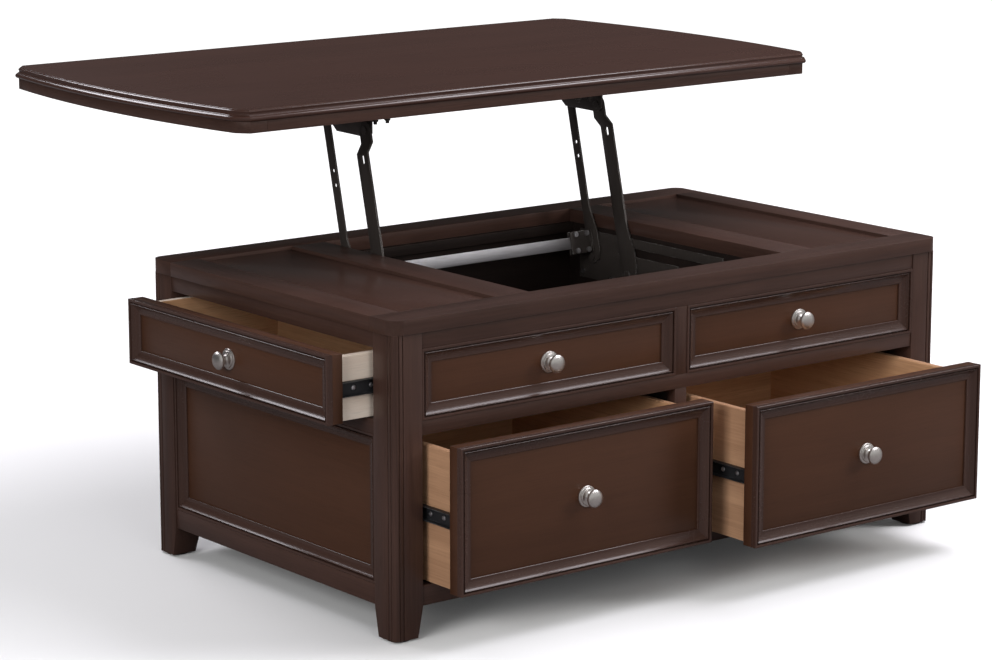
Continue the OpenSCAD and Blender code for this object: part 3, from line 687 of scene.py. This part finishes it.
def drawer_box(name, node, body, along):
    """Two sides, a front and a back between them, and a floor; along is the axis the drawer runs on."""
    a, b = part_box(node)
    run, across = (0, 1) if along == "x" else (1, 0)
    other = "xy"[across]
    mid = (a + b) / 2
    inset = DRAWER_WALL + DRAWER_GAP
    # outsides: pale birch along X, painted shade along Y; the inside faces take the painted shade of the
    # box's inside
    side_mats = [MATS["birch_" + along], MATS["birch_inside_painted_shade_" + along]]
    cross_mats = [MATS["birch_" + other], MATS["birch_inside_painted_shade_" + other]]
    for label in ("near", "far"):
        lo, hi = a.copy(), b.copy()
        if label == "near":
            hi[across] = a[across] + DRAWER_WALL
        else:
            lo[across] = b[across] - DRAWER_WALL
        drawer_board(f"{name}_side_{label}", lo, hi, run, mid, side_mats, body,
                     [node] if label == "near" else ())
    for label in ("start", "end"):
        lo, hi = a.copy(), b.copy()
        lo[across] += inset
        hi[across] -= inset
        if label == "start":
            hi[run] = a[run] + DRAWER_WALL
        else:
            lo[run] = b[run] - DRAWER_WALL
        drawer_board(f"{name}_cross_{label}", lo, hi, across, mid, cross_mats, body)
    lo, hi = a.copy(), b.copy()
    for axis in (run, across):
        lo[axis] += inset
        hi[axis] -= inset
    lo.z = a.z + FLOOR_UP[along]
    hi.z = lo.z + FLOOR_T
    finish_piece(f"{name}_floor", box_mesh(lo, hi), [MATS["floor_ply"]], body)


def slide_screws(body, along, front):
    """Pan heads that hold the drawer's slide members; front is the side that the drawer opens to."""
    a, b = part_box(body + "_box")
    run, across = (0, 1) if along == "x" else (1, 0)
    bm = bmesh.new()
    for side in (-1, 1):
        out = Vector((0, 0, 0))
        out[across] = side
        for step in SLIDE_SCREWS_AT:
            root = Vector((0, 0, middle(body + "_rails").z))
            root[across] = (b if side > 0 else a)[across] + side * SLIDE_WEB
            root[run] = b[run] - step if front > 0 else a[run] + step
            turned(bm, SCREW_SECTION, root, out, SCREW_STEPS)
    close_up(bm)
    finish_piece(body + "_slide_screws", bm, [MATS["zinc"]], body, (), SCREW_SMOOTH)


def drawers():
    for side in ("left", "right"):
        drawer_box(f"low_{side}_drawer", f"low_{side}_box", f"low_{side}", "y")
        drawer_box(f"end_{side}_drawer", f"end_{side}_box", f"end_{side}", "x")
        slide_screws(f"low_{side}", "y", -1)
        slide_screws(f"end_{side}", "x", -1 if side == "left" else 1)


# ---- steel

# body, node, material, slot, and how far its sharp edges are rounded, in millimetres
STEEL_FINISHES = [
    ("case", "case_slides", "black_slide", "slide_steel", 0.3),
    ("low_left", "low_left_rails", "black_slide", "slide_steel", 0.3),
    ("low_right", "low_right_rails", "black_slide", "slide_steel", 0.3),
    ("end_left", "end_left_rails", "black_slide", "slide_steel", 0.3),
    ("end_right", "end_right_rails", "black_slide", "slide_steel", 0.3),
    ("case", "base_plates", "bronze", "dark_steel", 0.4),
    ("case", "base_pins", "bronze", "dark_steel", 0.4),
    ("case", "plate_screws", "zinc", "bright_steel", 0.4),
    ("front_arms", "front_arms", "bronze", "dark_steel", 0.4),
    ("rear_arms", "rear_arms", "bronze", "dark_steel", 0.4),
    ("rear_arms", "lower_cross_bar", "zinc", "bright_steel", 0.5),
    ("rear_arms", "bar_clamps", "bronze", "dark_steel", 0.3),
    ("rear_arms", "clamp_bolts", "zinc", "bright_steel", 0.5),
    ("lift_top", "top_brackets", "bronze", "dark_steel", 0.4),
    ("lift_top", "bracket_pins", "bronze", "dark_steel", 0.4),
    ("lift_top", "upper_cross_bar", "zinc", "bright_steel", 0.5),
    ("lift_top", "bracket_fixings", "bronze", "dark_steel", 0.5),
]


def steel_pieces():
    for body, node, material, slot, width in STEEL_FINISHES:
        eased_node(node, material, body, width)


# ---- lift top: its edge profile carried round the bowed plan

BOARD_T = 18 * MM
TOP_BEAD = 8.5 * MM                 # how far the bead stands out of the plan's line
TOP_BOW = 27 * MM                   # how far the short ends bulge
TOP_BOW_STEPS = 40
TOP_CLIP = (14.3 * MM, 17 * MM)     # the clipped corners, along X and along Y
BAND_ENDS = 90 * MM                 # the band's cross strips lie within this of the top's ends
BAND_EDGE = 0.6 * MM

# how far out of the plan's line, and how far over the board's underside, in millimetres
EDGE_PROFILE = [(3.0, 0.0), (4.4, 0.1), (6.0, 0.6), (7.3, 1.5), (8.2, 2.8), (8.5, 4.3), (8.2, 5.8),
                (7.3, 7.1), (6.0, 8.0), (4.6, 8.5), (3.5, 8.6), (3.0, 8.9), (2.6, 9.6), (2.3, 10.8),
                (2.3, 12.0), (2.5, 13.0), (3.0, 13.7), (3.2, 14.5), (3.1, 15.3), (2.6, 16.0), (1.9, 16.5),
                (1.2, 16.7), (0.75, 16.75), (0.7, 17.2), (0.5, 17.7), (0.1, 17.95), (-0.5, 18.0)]


def top_outline(out):
    """Corner points of the top's plan, grown outwards, going round from the front right."""
    a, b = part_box("top_board")
    hx = (b.x - a.x) / 2 - TOP_BEAD
    hy = (b.y - a.y) / 2 - TOP_BEAD
    clip = Vector(TOP_CLIP)
    half = hy - clip.y
    radius = (half * half + TOP_BOW * TOP_BOW) / (2 * TOP_BOW)
    start = Vector((hx - TOP_BOW - clip.x + out * (clip.length - clip.x) / clip.y, hy + out))
    way = Vector((clip.x, -clip.y)).normalized()
    centre = Vector((hx - radius, 0.0))
    reach = radius + out
    off = start - centre
    along = off.dot(way)
    end = start + way * (-along + math.sqrt(along * along - off.length_squared + reach * reach))
    swing = math.asin(end.y / reach)
    arc = []
    for i in range(TOP_BOW_STEPS + 1):
        angle = swing - 2 * swing * i / TOP_BOW_STEPS
        arc.append((centre.x + reach * math.cos(angle), reach * math.sin(angle)))
    right = [(start.x, start.y)] + arc + [(start.x, -start.y)]
    left = [(-x, -y) for x, y in right]
    mid = (a + b) / 2
    return [(mid.x + x, mid.y + y) for x, y in right + left]


def lift_top_board():
    """One ring of the plan for each point of the edge profile, bridged, with a flat top and underside."""
    base = high("top_board").z - BOARD_T
    bm = bmesh.new()
    rings = []
    for out, up in EDGE_PROFILE:
        verts = [bm.verts.new((x, y, base + up * MM)) for x, y in top_outline(out * MM)]
        rings.append([bm.edges.new((verts[i - 1], verts[i])) for i in range(len(verts))])
    for first, second in zip(rings, rings[1:]):
        bmesh.ops.bridge_loops(bm, edges=first + second)
    bmesh.ops.contextual_create(bm, geom=rings[0])
    for face in bm.faces:
        face.material_index = 1
    surface = bmesh.ops.contextual_create(bm, geom=rings[-1])["faces"][0]
    surface.material_index = 0
    bmesh.ops.recalc_face_normals(bm, faces=bm.faces)
    finish_piece("top_board_finished", bm, [MATS["top"], MATS["top_edge"]], "lift_top",
                 ["top_board"], TOP_SMOOTH)


def lift_top_band():
    """The four strips under the top, with the grain of each running along it."""
    bm = node_copy("top_band")
    ease_edges(bm, BAND_EDGE)
    cross_from = (high("top_board").x - low("top_board").x) / 2 - BAND_ENDS
    centre = middle("top_board").x
    for face in bm.faces:
        face.material_index = 1 if abs(face.calc_center_median().x - centre) > cross_from else 0
    finish_piece("top_band_finished", bm, [MATS["rail_x"], MATS["rail_y"]], "lift_top",
                 ["top_band"])


case_pieces()
case_mouldings()
fronts()
knobs()
drawers()
steel_pieces()
lift_top_board()
lift_top_band()


# ---- floor, light and camera

WHITE = (1.0, 1.0, 1.0)
COOL = (0.96, 0.94, 1.0)

# the floor: its colour to the eye, its glow near and far from the table, and its colour to all else; the
# glow is painted light, faint near the table and strong far off, so the far floor shows white while the
# shadow near the table stays
FLOOR_SEEN = (0.80, 0.80, 0.80)
FLOOR_GLOW = (0.02, 0.90)
FLOOR_GLOW_REACH = (1.2, 5.0)
FLOOR_REFLECTED = (0.16, 0.15, 0.15)
FLOOR_HALF = 30.0

# the surroundings: their strength on matt faces, and in reflections towards the back and the front
SOFT_WORLD = 0.25
BACK_WORLD = 0.04
FRONT_WORLD = 0.45
BACK_FROM, FRONT_FROM = 0.25, -0.35

# name, place, what it points at, width and height, power, colour, and whether it shows in reflections
LIGHTS = [
    ("overhead", (1.7, -0.6, 3.1), (0.2, -0.1, 0.3), (2.8, 2.0), 125, COOL, True),
    ("back", (-0.9, 2.6, 2.7), (0, 0, 0.3), (2.6, 1.2), 75, COOL, True),
    ("left", (-4.4, -1.6, 2.0), (0, 0, 0.3), (2.4, 2.0), 125, WHITE, False),
    ("right", (3.6, -2.9, 2.2), (0, 0, 0.3), (1.4, 1.4), 105, WHITE, False),
    ("front", (-1.2, -4.8, 2.0), (0, 0, 0.3), (2.4, 2.0), 50, WHITE, False),
]

# the camera: its place from the case's centre line, which way it looks, and its lens in millimetres
CAMERA_FROM = (-3.2524, -3.9866, 1.4282)
CAMERA_YAW = 38.22
CAMERA_PITCH = 11.867
CAMERA_LENS = 117.551613


def studio_floor():
    """A white floor to the eye, which is dim in the reflections, as in a flagged studio."""
    material, n, shader, point = new_material("pale_floor")
    path = n.add("ShaderNodeLightPath")
    seen = n.mix(n.noise(point, 3.0), FLOOR_SEEN, tuple(c * 1.02 for c in FLOOR_SEEN))
    n.join(n.mix(path.outputs["Is Camera Ray"], FLOOR_REFLECTED, seen), shader.inputs["Base Color"])
    shader.inputs["Roughness"].default_value = 0.9
    shader.inputs["Specular IOR Level"].default_value = 0.0
    shader.inputs["Emission Color"].default_value = (*WHITE, 1.0)
    reach = n.add("ShaderNodeVectorMath", operation="LENGTH")
    n.join(point, reach.inputs[0])
    # painted light: for the eye the floor glows more the farther it lies from the table
    glow = n.ramp(reach.outputs["Value"], *FLOOR_GLOW_REACH, *FLOOR_GLOW)
    n.join(n.math("MULTIPLY", path.outputs["Is Camera Ray"], glow), shader.inputs["Emission Strength"])
    bm = bmesh.new()
    bmesh.ops.create_grid(bm, x_segments=1, y_segments=1, size=FLOOR_HALF)
    mesh = bpy.data.meshes.new("studio_floor")
    bm.to_mesh(mesh)
    bm.free()
    mesh.materials.append(material)
    floor = bpy.data.objects.new("studio_floor", mesh)
    bpy.context.scene.collection.objects.link(floor)


def studio_world():
    """White surroundings to the eye, soft on matt faces, and brighter to the front in reflections."""
    world = bpy.data.worlds.new("studio_world")
    bpy.context.scene.world = world
    world.use_nodes = True
    w = Nodes(world.node_tree)
    w.tree.nodes.clear()
    path = w.add("ShaderNodeLightPath")
    back = w.add("ShaderNodeBackground")
    out = w.add("ShaderNodeOutputWorld")
    back.inputs["Color"].default_value = (*WHITE, 1.0)
    way = w.add("ShaderNodeSeparateXYZ")
    w.join(w.add("ShaderNodeTexCoord").outputs["Generated"], way.inputs["Vector"])
    mirrored = w.ramp(way.outputs["Y"], BACK_FROM, FRONT_FROM, BACK_WORLD, FRONT_WORLD)
    change = w.math("MULTIPLY", path.outputs["Is Glossy Ray"], w.math("SUBTRACT", mirrored, SOFT_WORLD))
    dim = w.math("ADD", change, SOFT_WORLD)
    w.join(w.math("ADD", dim, path.outputs["Is Camera Ray"]), back.inputs["Strength"])
    w.join(back.outputs["Background"], out.inputs["Surface"])


def area_light(name, place, target, size, power, colour, mirrored):
    data = bpy.data.lights.new(name, "AREA")
    data.shape = "RECTANGLE"
    data.size, data.size_y = size
    data.energy = power
    data.color = colour
    light = bpy.data.objects.new(name, data)
    light.location = place
    light.rotation_euler = (Vector(target) - Vector(place)).to_track_quat("-Z", "Y").to_euler()
    light.visible_glossy = mirrored
    bpy.context.scene.collection.objects.link(light)


def camera():
    data = bpy.data.cameras.new("camera")
    data.sensor_width = 36.0
    data.lens = CAMERA_LENS
    data.clip_end = 100.0
    cam = bpy.data.objects.new("camera", data)
    yaw = math.radians(CAMERA_YAW)
    pitch = math.radians(CAMERA_PITCH)
    look = Vector((math.sin(yaw) * math.cos(pitch), math.cos(yaw) * math.cos(pitch), -math.sin(pitch)))
    x, y, z = CAMERA_FROM
    cam.location = (CASE_X + x, CASE_Y + y, z)
    cam.rotation_euler = look.to_track_quat("-Z", "Y").to_euler()
    bpy.context.scene.collection.objects.link(cam)
    bpy.context.scene.camera = cam


studio_floor()
studio_world()
for light in LIGHTS:
    area_light(*light)
camera()
bpy.context.scene.view_settings.view_transform = "Standard"

bpy.context.view_layer.update()
